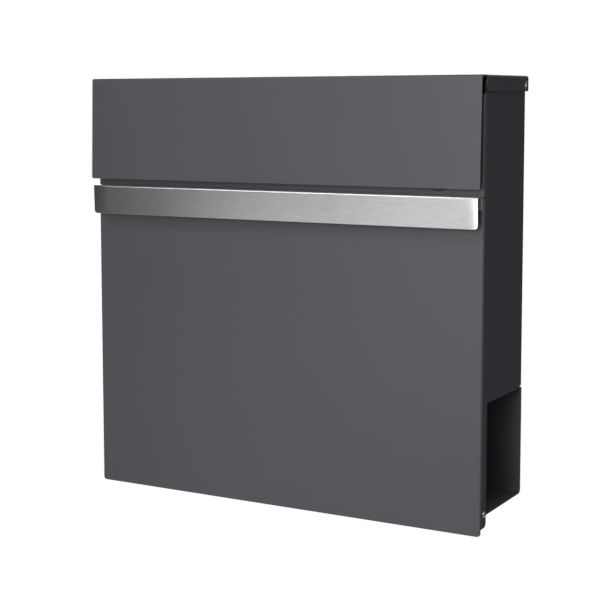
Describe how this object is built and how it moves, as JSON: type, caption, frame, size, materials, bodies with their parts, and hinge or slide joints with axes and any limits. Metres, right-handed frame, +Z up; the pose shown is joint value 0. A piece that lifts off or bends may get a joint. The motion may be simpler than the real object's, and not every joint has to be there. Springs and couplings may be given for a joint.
{
  "type": "wall mounted mailbox",
  "caption": "Flat wall mailbox of folded sheet steel with a top lid, a drop-down front door with a full-width handle strip, and an open-ended newspaper tray.",
  "frame": {"origin": "centre of the four wall holes, in the plane of the wall", "axes": "+Z up, +Y into the wall, +X to the right seen from the front"},
  "size_m": [0.373, 0.1099, 0.365],
  "materials": {
    "anthracite_coat": "fine-textured matt powder coat, dark grey",
    "inner_coat": "matt powder coat, dark grey",
    "brushed_strip": "lengthwise brushed stainless steel",
    "rivet_metal": "plain rivet metal",
    "lock_metal": "satin black lacquer",
    "plug_metal": "satin chrome",
    "zinc_steel": "zinc-plated steel",
    "black_rubber": "matt black rubber"
  },
  "bodies": {
    "case": {"case_shell": "anthracite_coat", "letter_floor": "inner_coat", "throat_guard": "inner_coat", "front_panel": "anthracite_coat", "front_panel_rivets": "rivet_metal", "wall_spacers": "black_rubber", "lid_hinge_rivets": "rivet_metal", "lid_washers": "zinc_steel", "lid_buffers": "black_rubber", "door_hinge_rivets": "rivet_metal", "door_buffers": "black_rubber", "lock_housing": "lock_metal", "lock_nut": "zinc_steel"},
    "lid": {"lid_shell": "anthracite_coat"},
    "door": {"door_panel": "anthracite_coat", "door_strike": "zinc_steel", "handle_strip": "brushed_strip", "strip_rivets": "rivet_metal"},
    "lock": {"lock_plug": "plug_metal", "lock_cam": "zinc_steel", "cam_screw": "zinc_steel"}
  },
  "joints": [
    {"name": "lid_hinge", "type": "hinge", "parent": "case", "child": "lid", "pos_m": [0, -0.0115, 0.127], "axis": [-1, 0, 0], "range_deg": [0, 90]},
    {"name": "door_hinge", "type": "hinge", "parent": "case", "child": "door", "pos_m": [0, -0.0926, -0.2124], "axis": [1, 0, 0], "range_deg": [0, 95]},
    {"name": "lock_turn", "type": "hinge", "parent": "case", "child": "lock", "pos_m": [0.146, -0.09, 0.0546], "axis": [0, -1, 0], "range_deg": [0, 90]}
  ]
}
